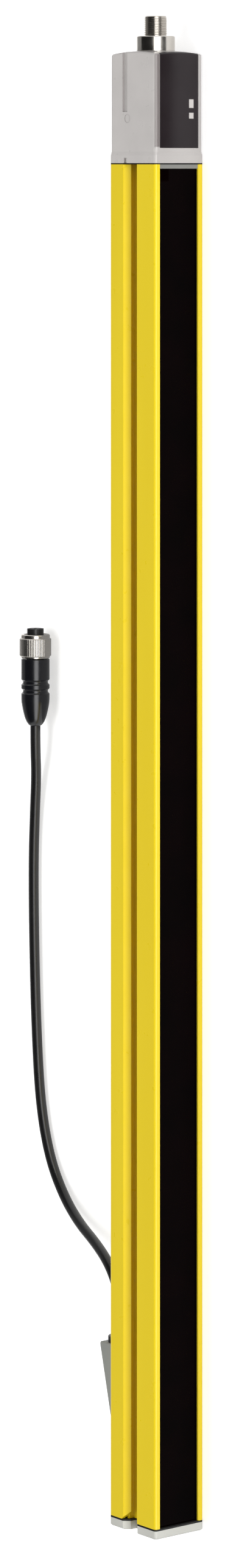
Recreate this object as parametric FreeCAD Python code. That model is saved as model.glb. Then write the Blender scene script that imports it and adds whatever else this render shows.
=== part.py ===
import FreeCAD, Part
import math
import os

V = FreeCAD.Vector

# Safety light curtain, one bar of the pair: a yellow aluminium profile with a dark light window,
# a light grey cast cap with a black display panel and a threaded plug at the upper end, and a
# grey end plate with a cable outlet and a short lead with a socket at the lower end.
# It lies on its right side face. All lengths are in millimetres.
#
# X runs along the bar from its lower end to the plug, Y from the light window (front) to the
# back, and Z up from the side face that the bar lies on. The pieces are drawn with x = 0 at the
# outer face of the end plate, y = 0 in the middle of the section and z = 0 at the resting face.
# write_parts() moves them, so that the origin is in the middle of the housing's footprint.

# ---------------------------------------------------------------- driving dimensions
profile_length = 687.5
profile_depth = 37.5
profile_width = 31.5
profile_wall = 1.9
back_wall = 2.0
front_corner_radius = 1.7
back_corner_radius = 2.0

lip_width = 3.5            # front lips that frame the window
lip_thickness = 1.4
lip_edge_radius = 0.6
seal_thickness = 0.5
window_thickness = 2.0
window_gap = 0.1
window_stop_length = 2.2

slot_from_back = 14.3      # T-slot in each side face, for sliding nuts
slot_mouth = 8.4
slot_lip = 3.2
slot_undercut = 1.9
slot_depth = 6.2
slot_wall = 1.4
slot_bevel = 2.9
slot_entry_chamfer = 4.0

port_inset = 4.6           # screw ports, from the side faces
front_port_from_front = 8.2
rear_port_from_back = 4.8
port_boss_radius = 2.8
port_radius = 1.25

end_plate_thickness = 4.2
end_plate_edge_chamfer = 0.6
end_gasket_thickness = 0.9
end_spigot_length = 3.0
end_spigot_wall = 1.4
spigot_gap = 0.3
notch_gap = 0.3

cap_gasket_thickness = 0.6
cap_height = 55.0          # at its corners, the crown comes on top
cap_crown = 2.4
cap_wall = 2.2
cap_inset = 0.3            # the housing is that much smaller than its collar, each side
cap_corner_radius = 2.1
cap_edge_bevel = 0.6
cap_ceiling = 3.4
collar_height = 3.9
collar_step = 1.9
collar_notch_width = 2.4
collar_notch_height = 2.6
collar_notch_depth = 1.0
cap_screw_seat = 3.0       # under the level of the cap's corners
well_radius = 2.9
well_boss_wall = 1.0
side_channel_from_back = 12.5
side_channel_width = 3.9
side_channel_depth = 1.0
side_channel_length = 29.0
side_spot_radius = 2.2
side_spot_depth = 0.2
side_spot_from_channel = 3.4

display_width = 24.6
display_thickness = 1.2
display_above_collar = 2.0
display_wrap = 3.2
display_gap = 0.2          # of the panel in the cap's pocket
status_gap = 0.05
display_ledge = 0.8
aperture_inset = 2.6
display_board_thickness = 1.0
display_board_inset = 1.2
status_window_width = 2.9
status_window_from_edge = 4.4
status_window_lengths = (4.4, 3.0)
status_window_heights = (26.2, 20.1)   # of their middles, above the collar
digit_length = 9.0
digit_width = 6.0
digit_height = 14.0
led_size = 1.6
led_thickness = 0.8

plug_offset = 0.5          # of the plug's axis, towards the back
plug_spot_radius = 10.6
plug_spot_depth = 0.4
flange_radius = 9.8
flange_height = 7.6
flange_chamfer = 0.8
thread_radius = 6.0
thread_length = 10.2
thread_chamfer = 0.7
shank_radius = 7.0
shank_stand = 1.0          # of the shank, under the lock nut
shank_gap = 0.1
plug_bore_radius = 4.9
plug_insert_gap = 0.05
plug_insert_recess = 6.0
plug_insert_below = 6.0
pin_circle_radius = 2.8
pin_radius = 0.5
pin_stand = 4.8
lock_nut_thickness = 3.2
lock_nut_across_flats = 17.0
lock_nut_gap = 0.05
o_ring_radius = 0.5
o_ring_centre_radius = 7.9
o_ring_groove_half = 0.8

small_sides = 8            # flats on pins, wires and shanks, of which there are many
head_sides = 12            # flats on screw heads and the bores that they sink into
ring_sides = 26            # flats on seal rings and on the lead's round pieces

screw_radius = 1.2         # M3, drawn at its core in the port
screw_hole_radius = 1.7
screw_head_radius = 2.75
screw_head_height = 2.8
screw_grip = 9.0
screw_socket_flats = 2.5
screw_socket_depth = 1.4
end_screw_seat = 3.0       # from the end plate's outer face

carrier_gap = 0.1
carrier_behind_window = 0.6
carrier_depth = 18.4
carrier_wall = 1.2
carrier_end_gap = 6.0
beam_pitch = 40.0
beam_end_margin = 20.0     # least space from the profile's ends to the first and last beam
baffle_thickness = 1.2
lens_plate_thickness = 1.5
lens_length = 11.6
lens_sag = 1.6
board_thickness = 1.6
diode_size = 4.0
diode_thickness = 1.5

control_board_gap = 0.4
control_board_end_gap = 23.75
chip_sizes = ((12.0, 12.0, 1.6), (9.0, 6.0, 1.5), (7.0, 5.0, 1.2), (14.0, 10.0, 2.2))
chip_pitch = 62.0
terminal_length = 8.0
terminal_width = 10.0
terminal_height = 4.2

outlet_width = 14.6        # wedge over the cable entry, on the back
outlet_height = 18.1
outlet_length = 70.4
outlet_nose = 1.2
outlet_top = 88.8          # its upper end, from the lower end of the bar
outlet_wall = 1.8
outlet_side_wall = 1.6
outlet_corner_radius = 1.2
outlet_long_bevel = 0.5
outlet_cavity_length = 30.0
outlet_gasket_thickness = 0.5
outlet_screw_places = (8.6, 27.6)      # from the outlet's thin end
outlet_screw_floor = 1.6
outlet_screw_well = 2.95
outlet_drive_depth = 0.7
outlet_entry_radius = 3.6
outlet_entry_from_top = 16.0

cable_radius = 2.7
cable_sides = 8
cable_from_back = 10.5     # the gland's axis behind the back face
gland_neck_radius = 4.6
gland_neck_gap = 0.05
gland_foot_radius = 6.4
gland_foot_length = 3.2
gland_taper_radius = 4.8
gland_tip_radius = 3.5
gland_length = 7.0
stub_length = 6.6
lead_radius = 0.6
lead_sides = 4
lead_spread = 1.2
lead_bend = 6.0

grip_start = 397.1         # the socket's cable end, from the lower end of the bar
grip_length = 35.2
grip_radius = 7.5
grip_tail_radius = 3.5
grip_tail_length = 12.0
grip_tail_swell = 3.0      # the tail swells at once, over this length, to the next radius
grip_swell_radius = 4.9
grip_waists = 2
grip_first_waist = 18.2    # middle of the first waist, from the grip's start
grip_waist_pitch = 4.7
grip_waist_length = 2.8
grip_waist_radius = 6.6
grip_edge = 0.5
socket_behind_back = 91.8  # the socket's axis behind the back face
socket_lift = 0.2
nut_length = 12.4
nut_radius = 8.35
nut_root_radius = 8.0
nut_shoulder_radius = 7.65
nut_shoulder_length = 0.9
nut_nose_length = 1.9
nut_collar_length = 2.6
nut_thread_radius = 5.5
nut_running_gap = 0.08
nut_end_gap = 0.4
nut_flutes = 26
nut_land = 0.6             # share of each flute's pitch that is full size
nut_root = 0.8             # where the flute is deepest, as a share of its pitch
insert_radius = 4.4
insert_stand = 3.0         # of the insert, in front of the nut
insert_flange_radius = 4.95
insert_flange_length = 1.4
contact_circle_radius = 2.5
contact_radius = 0.75
contact_bore_radius = 0.5
contact_length = 9.0
contact_recess = 0.4
contact_floor = 1.0
key_width = 1.2
key_depth = 0.7
socket_seal_radius = 0.35

# Route of the free lead, from the gland to the socket: x, distance behind the back face and
# height. It leaves both ends straight, and the points between them were laid by hand.
floor_gap = 0.05
lying = cable_radius + floor_gap
lead_run_out = 11.5
lead_run_in = 11.0
lead_route = (
    (118.0, 14.8, 15.0),
    (127.0, 23.6, 13.5),
    (134.0, 38.0, 10.4),
    (140.8, 57.1, 6.6),
    (152.0, 74.1, 3.7),
    (169.8, 87.2, lying),
    (196.7, 95.0, lying),
    (234.0, 98.4, lying),
    (279.0, 100.4, lying),
    (322.0, 101.1, lying),
    (350.0, 99.7, lying + 0.1),
    (370.0, 95.7, 4.9),
)

# ---------------------------------------------------------------- stations and faces
y_front = -profile_depth / 2
y_back = profile_depth / 2
z_mid = profile_width / 2

x_profile = end_plate_thickness + end_gasket_thickness
x_profile_end = x_profile + profile_length
x_cap = x_profile_end + cap_gasket_thickness
x_cap_corner = x_cap + cap_height
x_collar_end = x_cap + collar_height
x_housing = x_collar_end + collar_step
x_crown = x_cap_corner + cap_crown
x_ceiling = x_cap_corner - cap_ceiling
x_spot = x_crown - plug_spot_depth
x_flange_end = x_spot + flange_height
x_plug_tip = x_flange_end + thread_length

y_window = y_front + lip_thickness + seal_thickness
y_window_back = y_window + window_thickness
y_groove_back = y_window_back + window_gap
y_slot_rear = y_back - slot_from_back
y_slot_front = y_slot_rear - slot_mouth
y_neck_front = y_slot_front - slot_undercut - slot_wall
y_neck_rear = y_slot_rear + slot_undercut + slot_wall
z_neck = slot_depth + slot_wall

y_cap_front = y_front + cap_inset
y_display_back = y_cap_front + display_thickness
y_cap_inner = y_display_back + display_ledge
y_plug = plug_offset

y_board = y_neck_rear + control_board_gap / 2
y_board_back = y_board + board_thickness
y_carrier = y_window_back + carrier_behind_window
y_carrier_back = y_carrier + carrier_depth
z_carrier = z_neck + carrier_gap
x_carrier = x_profile + carrier_end_gap
carrier_length = profile_length - 2 * carrier_end_gap
beam_count = int((profile_length - 2 * beam_end_margin) / beam_pitch) + 1
x_first_beam = x_profile + (profile_length - beam_pitch * (beam_count - 1)) / 2
x_board = x_profile + control_board_end_gap
x_board_end = x_profile_end - control_board_end_gap

y_outlet = y_back + outlet_gasket_thickness
y_outlet_top = y_outlet + outlet_height
x_outlet = outlet_top - outlet_length
outlet_slope = (outlet_height - outlet_nose) / outlet_length
outlet_corner_rise = outlet_corner_radius * (outlet_slope + math.hypot(1, outlet_slope) - 1)
y_outlet_corner = y_outlet_top + outlet_corner_rise     # before the corner is rounded
y_cable = y_back + cable_from_back
x_gland_end = outlet_top + gland_length

y_socket = y_back + socket_behind_back
z_socket = nut_radius + socket_lift
x_grip_end = grip_start + grip_length
x_nut = x_grip_end + nut_end_gap
x_nut_end = x_nut + nut_length
x_insert_end = x_nut_end + insert_stand

ports = [
    (y, z)
    for y in (y_front + front_port_from_front, y_back - rear_port_from_back)
    for z in (port_inset, profile_width - port_inset)
]
beams = [x_first_beam + beam_pitch * i for i in range(beam_count)]


# ---------------------------------------------------------------- drawing helpers
def rounded_wire(corners, place):
    """A closed outline through corners (u, v, radius), with place(u, v) giving the 3-D point."""
    count = len(corners)
    stations = []
    for i, (u, v, radius) in enumerate(corners):
        here = V(u, v, 0)
        if radius <= 0:
            stations.append((here, None, here))
            continue
        before = V(*corners[i - 1][:2], 0) - here
        after = V(*corners[(i + 1) % count][:2], 0) - here
        before.normalize()
        after.normalize()
        half = before.getAngle(after) / 2
        bisector = before + after
        bisector.normalize()
        centre = here + bisector * (radius / math.sin(half))
        run = radius / math.tan(half)
        stations.append((here + before * run, centre - bisector * radius, here + after * run))
    edges = []
    for i, (start, middle, end) in enumerate(stations):
        if middle is not None:
            edges.append(Part.Arc(*[place(p.x, p.y) for p in (start, middle, end)]).toShape())
        following = stations[(i + 1) % count][0]
        if (following - end).Length > 1e-6:
            edges.append(Part.LineSegment(place(end.x, end.y), place(following.x, following.y)).toShape())
    return Part.Wire(edges)


def section(corners):
    """A face across the bar, from corners (y, z, radius)."""
    return Part.Face(rounded_wire(corners, lambda y, z: V(0, y, z)))


def rectangle(y0, y1, z0, z1, radius=0.0):
    """A rectangle across the bar."""
    return section([(y0, z0, radius), (y1, z0, radius), (y1, z1, radius), (y0, z1, radius)])


def disc(y, z, radius):
    """A disc across the bar."""
    return Part.Face(Part.Wire(Part.makeCircle(radius, V(0, y, z), V(1, 0, 0))))


def along(face, x0, x1):
    """The solid that a face across the bar sweeps from x0 to x1."""
    return face.translated(V(x0, 0, 0)).extrude(V(x1 - x0, 0, 0))


def block(x0, x1, y0, y1, z0, z1):
    """A plain box between two corners."""
    return Part.makeBox(x1 - x0, y1 - y0, z1 - z0, V(x0, y0, z0))


def rod(x0, x1, y, z, radius):
    """A cylinder along the bar."""
    return Part.makeCylinder(radius, x1 - x0, V(x0, y, z), V(1, 0, 0))


def post(x, y0, y1, z, radius):
    """A cylinder through the bar's depth."""
    return Part.makeCylinder(radius, y1 - y0, V(x, y0, z), V(0, 1, 0))


def small_post(x, y0, y1, radius, sides=small_sides):
    """A small round part through the bar's depth, in the middle of its width."""
    corners = []
    for i in range(sides + 1):
        angle = 2 * math.pi * i / sides
        corners.append(V(x + radius * math.cos(angle), y0, z_mid + radius * math.sin(angle)))
    return Part.Face(Part.makePolygon(corners)).extrude(V(0, y1 - y0, 0))


def turned(points, y, z):
    """A solid turned about an axis along the bar, from points (x, radius)."""
    outline = Part.makePolygon([V(x, r, 0) for x, r in points] + [V(*points[0], 0)])
    solid = Part.Face(outline).revolve(V(0, 0, 0), V(1, 0, 0), 360)
    return solid.translated(V(0, y, z))


def faceted(points, y, z, sides=ring_sides):
    """The light kin of turned(): the same solid from points (x, radius), with flat sides all round."""
    rings = []
    for x, radius in points:
        turns = [2 * math.pi * i / sides for i in range(sides + 1)]
        rings.append([V(x, y + radius * math.cos(turn), z + radius * math.sin(turn)) for turn in turns])
    faces = []
    for near, far in zip(rings, rings[1:] + rings[:1]):
        if near[0].isEqual(near[1], 1e-9) and far[0].isEqual(far[1], 1e-9):
            continue
        for i in range(sides):
            corners = [near[i], near[i + 1], far[i + 1], far[i]]
            corners = [c for k, c in enumerate(corners) if not c.isEqual(corners[k - 1], 1e-9)]
            faces.append(Part.Face(Part.makePolygon(corners + corners[:1])))
    solid = Part.Solid(Part.makeShell(faces))
    if solid.Volume < 0:
        solid.reverse()
    return solid.removeSplitter()


def ring_seal(x0, centre_radius, radius, y, z):
    """A seal ring pressed flat between two faces, standing on x0, its flats clear of what it rings."""
    inner = (centre_radius - radius) / math.cos(math.pi / ring_sides)
    x1 = x0 + 2 * radius
    outer = centre_radius + radius
    return faceted([(x0, inner), (x0, outer), (x1, outer), (x1, inner)], y, z)


def flat_sided(y, z, radius, sides, turn=0.0):
    """A face across the bar with that many equal sides, its corners on the radius."""
    corners = []
    for i in range(sides):
        angle = math.radians(360 / sides * i + turn)
        corners.append((y + radius * math.cos(angle), z + radius * math.sin(angle), 0))
    return section(corners)


def hexagon(x0, x1, y, z, across_flats):
    """A hexagonal prism along the bar."""
    return along(flat_sided(y, z, across_flats / math.sqrt(3), 6, 0.0), x0, x1)


def small_rod(x0, x1, y, z, radius, sides=small_sides, turn=180 / small_sides):
    """A small round part along the bar, drawn with a few flats because there are many of them."""
    return along(flat_sided(y, z, radius, sides, turn), x0, x1)


def both_sides(solid):
    """A solid and its mirror image in the middle of the bar's width."""
    return [solid, solid.mirror(V(0, 0, z_mid), V(0, 0, 1))]


def outer_section(front_radius, back_radius, inset=0.0):
    """The bar's outline, or the same outline a little smaller."""
    low, high = inset, profile_width - inset
    return section([
        (y_front + inset, low, front_radius),
        (y_back - inset, low, back_radius),
        (y_back - inset, high, back_radius),
        (y_front + inset, high, front_radius),
    ])


def slot_mouth_section(gap=0.0):
    """The open mouth of the upper T-slot, with its bevelled rear lip."""
    top = profile_width
    rear = y_slot_rear + gap
    return section([
        (y_slot_front - gap, top - slot_depth - gap, 0),
        (rear, top - slot_depth - gap, 0),
        (rear, top - slot_bevel, 0),
        (rear + slot_bevel, top, 0),
        (rear + slot_bevel, top + 1, 0),
        (y_slot_front - gap, top + 1, 0),
    ])


def socket_screw(x_seat, x_tip, y, z):
    """A cylinder-head screw, its head standing on x_seat and its shank ending at x_tip."""
    outward = math.copysign(1.0, x_seat - x_tip)
    x_top = x_seat + outward * screw_head_height
    head = small_rod(x_seat, x_top, y, z, screw_head_radius, head_sides)
    shank = small_rod(x_tip, x_seat, y, z, screw_radius)
    socket = hexagon(x_top - outward * screw_socket_depth, x_top + outward, y, z, screw_socket_flats)
    return head.fuse(shank).cut(socket)


# ---------------------------------------------------------------- profile and window
def chamber_faces():
    """The three chambers inside the profile, from the window to the back wall."""
    front = rectangle(y_groove_back, y_neck_front, lip_width, profile_width - lip_width)
    neck = rectangle(y_neck_front - 1, y_neck_rear + 1, z_neck, profile_width - z_neck)
    rear = rectangle(y_neck_rear, y_back - back_wall, profile_wall, profile_width - profile_wall)
    return [front, neck, rear]


def make_profile():
    low, high = lip_width, profile_width - lip_width
    body = outer_section(front_corner_radius, back_corner_radius)
    window_opening = section([
        (y_front - 1, low - lip_edge_radius, 0),
        (y_front, low - lip_edge_radius, 0),
        (y_front + lip_edge_radius, low, 0),
        (y_groove_back, low, 0),
        (y_groove_back, high, 0),
        (y_front + lip_edge_radius, high, 0),
        (y_front, high + lip_edge_radius, 0),
        (y_front - 1, high + lip_edge_radius, 0),
    ])
    window_groove = rectangle(
        y_front + lip_thickness, y_groove_back, profile_wall, profile_width - profile_wall
    )
    chambers = chamber_faces()
    hollow = chambers[0].fuse(chambers[1:])
    bosses = [disc(y, z, port_boss_radius) for y, z in ports]
    bore_faces = [disc(y, z, port_radius) for y, z in ports]
    undercut = rectangle(
        y_slot_front - slot_undercut, y_slot_rear + slot_undercut,
        profile_width - slot_depth, profile_width - slot_lip,
    )
    slots = []
    for face in (slot_mouth_section(), undercut):
        slots += both_sides(face)
    metal = body.cut([window_opening, window_groove] + slots).cut(hollow.cut(bosses)).cut(bore_faces)
    solid = metal.translated(V(x_profile, 0, 0)).extrude(V(profile_length, 0, 0))
    entry = Part.Face(Part.makePolygon([
        V(x_profile - 1, y_slot_rear - 1, 0),
        V(x_profile - 1, y_slot_rear + slot_entry_chamfer + 1, 0),
        V(x_profile + slot_entry_chamfer, y_slot_rear, 0),
        V(x_profile + slot_entry_chamfer, y_slot_rear - 1, 0),
        V(x_profile - 1, y_slot_rear - 1, 0),
    ])).translated(V(0, 0, profile_width - slot_lip)).extrude(V(0, 0, slot_lip + 1))
    cable_entry = post(x_entry(), y_back - back_wall - 1, y_back + 1, z_mid, outlet_entry_radius)
    screw_holes = [
        small_post(x_outlet + place, y_back - back_wall - 1, y_back + 1, port_radius)
        for place in outlet_screw_places
    ]
    return solid.cut(both_sides(entry) + [cable_entry] + screw_holes).removeSplitter()


def x_entry():
    """Where the cable's wires go through the back wall."""
    return outlet_top - outlet_entry_from_top


def make_front_window():
    side_gap = window_gap + profile_wall
    face = rectangle(y_window, y_window_back, side_gap, profile_width - side_gap)
    return along(face, x_profile, x_profile_end - window_stop_length)


def make_window_seals():
    strip = rectangle(y_front + lip_thickness, y_window, profile_wall, lip_width)
    right = along(strip, x_profile, x_profile_end)
    return right, right.mirror(V(0, 0, z_mid), V(0, 0, 1))


def make_window_stop():
    x_stop = x_profile_end - window_stop_length
    high = profile_width - lip_width
    nose = along(rectangle(y_front + lip_edge_radius, y_window, lip_width, high), x_stop, x_profile_end)
    side_gap = window_gap + profile_wall
    foot = along(rectangle(y_window, y_window_back, side_gap, profile_width - side_gap), x_stop, x_profile_end)
    return nose.fuse(foot).removeSplitter()


# ---------------------------------------------------------------- optics
def make_optics_carrier():
    z_end = profile_width - z_carrier
    low, high = z_carrier + carrier_wall, z_end - carrier_wall
    shell = rectangle(y_carrier, y_carrier_back, z_carrier, z_end)
    inside = rectangle(y_carrier - 1, y_carrier_back - carrier_wall, low, high)
    channel = along(shell.cut(inside), x_carrier, x_carrier + carrier_length)
    foot = rectangle(y_carrier_back, y_board, z_carrier, z_carrier + carrier_wall)
    feet = both_sides(along(foot, x_carrier, x_carrier + carrier_length))
    y0 = y_carrier + lens_plate_thickness
    y1 = y_carrier_back - carrier_wall - board_thickness
    walls = []
    for x in [beam - beam_pitch / 2 for beam in beams] + [beams[-1] + beam_pitch / 2]:
        x0 = max(x - baffle_thickness / 2, x_carrier)
        x1 = min(x + baffle_thickness / 2, x_carrier + carrier_length)
        if x1 > x0:
            walls.append(block(x0, x1, y0, y1, low, high))
    return channel.fuse(feet + walls).removeSplitter()


def make_lens_strip():
    """A plate with one cylindrical lens over each beam."""
    low, high = z_carrier + carrier_wall, profile_width - z_carrier - carrier_wall
    y_back_face = y_carrier + lens_plate_thickness
    half = lens_length / 2
    first = V(x_carrier, y_back_face, low)
    here = first
    edges = []
    for x in beams:
        start = V(x - half, y_back_face, low)
        end = V(x + half, y_back_face, low)
        edges.append(Part.LineSegment(here, start).toShape())
        edges.append(Part.Arc(start, V(x, y_back_face + lens_sag, low), end).toShape())
        here = end
    x_end = x_carrier + carrier_length
    rest = [here, V(x_end, y_back_face, low), V(x_end, y_carrier, low), V(x_carrier, y_carrier, low), first]
    edges += [Part.LineSegment(a, b).toShape() for a, b in zip(rest, rest[1:])]
    return Part.Face(Part.Wire(edges)).extrude(V(0, 0, high - low))


def make_sensor_board():
    y1 = y_carrier_back - carrier_wall
    low, high = z_carrier + carrier_wall, profile_width - z_carrier - carrier_wall
    return block(x_carrier, x_carrier + carrier_length, y1 - board_thickness, y1, low, high)


def make_photodiodes():
    y1 = y_carrier_back - carrier_wall - board_thickness
    half = diode_size / 2
    diodes = []
    for x in beams:
        body = block(x - half, x + half, y1 - diode_thickness, y1, z_mid - half, z_mid + half)
        diodes.append(body)
    return Part.makeCompound(diodes)


def make_control_board():
    low = profile_wall + control_board_gap
    return block(x_board, x_board_end, y_board, y_board_back, low, profile_width - low)


def make_board_chips():
    first = x_board + chip_pitch
    count = int((x_board_end - x_board - 2 * terminal_length) / chip_pitch)
    chips = []
    for i in range(count):
        length, width, height = chip_sizes[i % len(chip_sizes)]
        x = first + chip_pitch * i
        if abs(x - x_entry()) < length / 2 + 2 * outlet_entry_radius:
            continue
        chips.append(block(
            x - length / 2, x + length / 2, y_board_back, y_board_back + height,
            z_mid - width / 2, z_mid + width / 2,
        ))
    return Part.makeCompound(chips)


def terminal_block(x):
    """A pin header on the back of the control board."""
    half = terminal_width / 2
    y_top = y_board_back + terminal_height
    return block(x, x + terminal_length, y_board_back, y_top, z_mid - half, z_mid + half)


def x_upper_terminal():
    """The lower end of the header under the cap."""
    return x_board_end - terminal_length


def make_board_terminals():
    return Part.makeCompound([
        terminal_block(x_entry() - terminal_length / 2),
        terminal_block(x_upper_terminal()),
    ])


# ---------------------------------------------------------------- end plate
def slot_notches(x0, x1):
    """The notches that keep the T-slots open at the lower end."""
    return both_sides(along(slot_mouth_section(notch_gap), x0, x1))


def make_end_plate():
    plate = along(outer_section(front_corner_radius, back_corner_radius), 0, end_plate_thickness)
    rim = [edge for edge in plate.Edges if max(v.X for v in edge.Vertexes) < 1e-6]
    plate = plate.makeChamfer(end_plate_edge_chamfer, rim)
    low, high = z_neck + spigot_gap, profile_width - z_neck - spigot_gap
    y0, y1 = y_neck_front + spigot_gap, y_neck_rear - spigot_gap
    spigot = rectangle(y0, y1, low, high)
    core = rectangle(y0 + end_spigot_wall, y1 - end_spigot_wall, low + end_spigot_wall, high - end_spigot_wall)
    ring = along(spigot.cut(core), end_plate_thickness, x_profile + end_spigot_length)
    plate = plate.fuse(ring)
    for y, z in ports:
        plate = plate.cut([
            small_rod(-1, end_plate_thickness + 1, y, z, screw_hole_radius),
            small_rod(-1, end_screw_seat, y, z, well_radius, head_sides),
        ])
    return plate.cut(slot_notches(-1, end_plate_thickness + 1)).removeSplitter()


def make_end_gasket():
    sheet = outer_section(front_corner_radius, back_corner_radius)
    opening = rectangle(y_neck_front, y_neck_rear, z_neck, profile_width - z_neck)
    holes = [flat_sided(y, z, screw_hole_radius, small_sides) for y, z in ports]
    sheet = along(sheet.cut([opening] + holes), end_plate_thickness, x_profile)
    return sheet.cut(slot_notches(0, x_profile + 1))


def make_end_screws():
    screws = [socket_screw(end_screw_seat, x_profile + screw_grip, y, z) for y, z in ports]
    return Part.makeCompound(screws)


# ---------------------------------------------------------------- cap and display
def crown_ball(inset=0.0):
    """The ball whose top is the cap's crown."""
    half_diagonal = math.hypot(profile_depth / 2 - cap_inset, profile_width / 2 - cap_inset)
    radius = (half_diagonal ** 2 + cap_crown ** 2) / (2 * cap_crown)
    ball = Part.makeSphere(radius - inset, V(x_crown - radius, 0, z_mid))
    return ball.rotated(V(x_crown - radius, 0, z_mid), V(0, 0, 1), 180)


def cap_envelope(inset=0.0):
    """The cap's housing above its collar, as a full block with a crowned top and a bevelled rim."""
    radius = max(cap_corner_radius - inset, 0.5)
    face = outer_section(radius, radius, cap_inset + inset)
    block_up = along(face, x_collar_end, x_crown + 1)
    crowned = block_up.common(crown_ball(inset))
    top_rim = [edge for edge in crowned.Edges if min(v.X for v in edge.Vertexes) > x_ceiling]
    return crowned.makeChamfer(max(cap_edge_bevel - inset / 2, 0.2), top_rim)


def display_region(gap=0.0):
    """The block of space that the display panel takes from the cap's skin."""
    half = display_width / 2 + gap
    return block(
        x_housing + display_above_collar - gap, x_crown + 1,
        y_front - 1, y_cap_front + display_wrap + gap, z_mid - half, z_mid + half,
    )


def status_places():
    """Middles of the two status windows, as x and z."""
    z = z_mid - display_width / 2 + status_window_from_edge
    return [(x_collar_end + height, z) for height in status_window_heights]


def status_window_block(x, z, length, gap=0.0):
    """One small window through the display panel."""
    half = status_window_width / 2 + gap
    return block(
        x - length / 2 - gap, x + length / 2 + gap,
        y_cap_front - gap, y_display_back + gap, z - half, z + half,
    )


def make_display_window():
    skin = cap_envelope().cut(cap_envelope(display_thickness))
    panel = skin.common(display_region())
    panel = panel.common(block(x_collar_end, x_crown + 1, y_front - 1, y_back, 0, profile_width))
    for (x, z), length in zip(status_places(), status_window_lengths):
        panel = panel.cut(status_window_block(x, z, length, status_gap))
    return panel.removeSplitter()


def make_status_windows():
    windows = []
    for (x, z), length in zip(status_places(), status_window_lengths):
        windows.append(status_window_block(x, z, length))
    return Part.makeCompound(windows)


def aperture_box(inset):
    """The opening in the cap's front wall, behind the display panel."""
    half = display_width / 2 - inset
    x0 = x_housing + display_above_collar + inset
    return x0, x_ceiling - inset, z_mid - half, z_mid + half


def make_top_cap():
    collar_face = outer_section(front_corner_radius, back_corner_radius)
    collar = along(collar_face, x_cap, x_collar_end)
    upper_wire = outer_section(cap_corner_radius, cap_corner_radius, cap_inset).OuterWire
    step = Part.makeLoft([
        collar_face.OuterWire.translated(V(x_collar_end, 0, 0)),
        upper_wire.translated(V(x_housing, 0, 0)),
    ], True)
    cap = cap_envelope().fuse([collar, step])
    inner = rectangle(
        y_cap_inner, y_back - cap_inset - cap_wall, cap_inset + cap_wall, profile_width - cap_inset - cap_wall
    )
    cavity = along(inner, x_cap - 1, x_ceiling)
    bosses = [small_rod(x_cap, x_ceiling, y, z, well_radius + well_boss_wall) for y, z in ports]
    cap = cap.cut(cavity.cut(bosses))
    for y, z in ports:
        cap = cap.cut([
            small_rod(x_cap_corner - cap_screw_seat, x_crown + 1, y, z, well_radius, head_sides),
            small_rod(x_cap - 1, x_cap_corner, y, z, screw_hole_radius),
        ])
    pocket = display_region(display_gap).cut(cap_envelope(display_thickness))
    x0, x1, z0, z1 = aperture_box(aperture_inset)
    aperture = block(x0, x1, y_display_back - 1, y_cap_inner + 1, z0, z1)
    spot_face = rod(x_spot, x_crown + 1, y_plug, z_mid, plug_spot_radius)
    plug_hole = rod(x_ceiling - 1, x_crown + 1, y_plug, z_mid, shank_radius + shank_gap)
    cap = cap.cut([pocket, aperture, spot_face, plug_hole])
    y_channel = y_back - side_channel_from_back
    channel_radius = (side_channel_width ** 2 / 4 + side_channel_depth ** 2) / (2 * side_channel_depth)
    z_face = profile_width - cap_inset
    x_channel = x_cap_corner - side_channel_length
    z_channel = z_face + channel_radius - side_channel_depth
    channel = rod(x_channel, x_crown + 1, y_channel, z_channel, channel_radius)
    spot = Part.makeCylinder(
        side_spot_radius, 1 + side_spot_depth,
        V(x_channel - side_spot_from_channel, y_channel - side_channel_width / 2, z_face - side_spot_depth),
    )
    notch = block(
        x_cap - 1, x_cap + collar_notch_height, y_slot_rear, y_slot_rear + collar_notch_width,
        profile_width - collar_notch_depth, profile_width + 1,
    )
    for cutter in (channel, spot, notch):
        cap = cap.cut(both_sides(cutter))
    return cap.removeSplitter()


def make_cap_gasket():
    sheet = outer_section(front_corner_radius, back_corner_radius)
    opening = rectangle(y_neck_front, y_back - back_wall - 1, z_neck, profile_width - z_neck)
    holes = [flat_sided(y, z, screw_hole_radius, small_sides) for y, z in ports]
    return along(sheet.cut([opening] + holes), x_profile_end, x_cap)


def make_cap_screws():
    x_seat = x_cap_corner - cap_screw_seat
    screws = [socket_screw(x_seat, x_profile_end - screw_grip, y, z) for y, z in ports]
    return Part.makeCompound(screws)


def make_display_board():
    x0, x1, z0, z1 = aperture_box(aperture_inset - display_board_inset)
    return block(x0, x1, y_cap_inner, y_cap_inner + display_board_thickness, z0, z1)


def make_status_leds():
    leds = []
    for x, z in status_places():
        z_led = max(z, aperture_box(aperture_inset)[2] + led_size)
        half = led_size / 2
        leds.append(block(
            x - half, x + half, y_cap_inner - led_thickness, y_cap_inner, z_led - half, z_led + half,
        ))
    return Part.makeCompound(leds)


def make_digit_display():
    x = x_collar_end + digit_height + digit_length
    half_width = digit_width / 2
    return block(
        x - digit_length / 2, x + digit_length / 2, y_cap_inner - led_thickness, y_cap_inner,
        z_mid - half_width, z_mid + half_width,
    )


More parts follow.
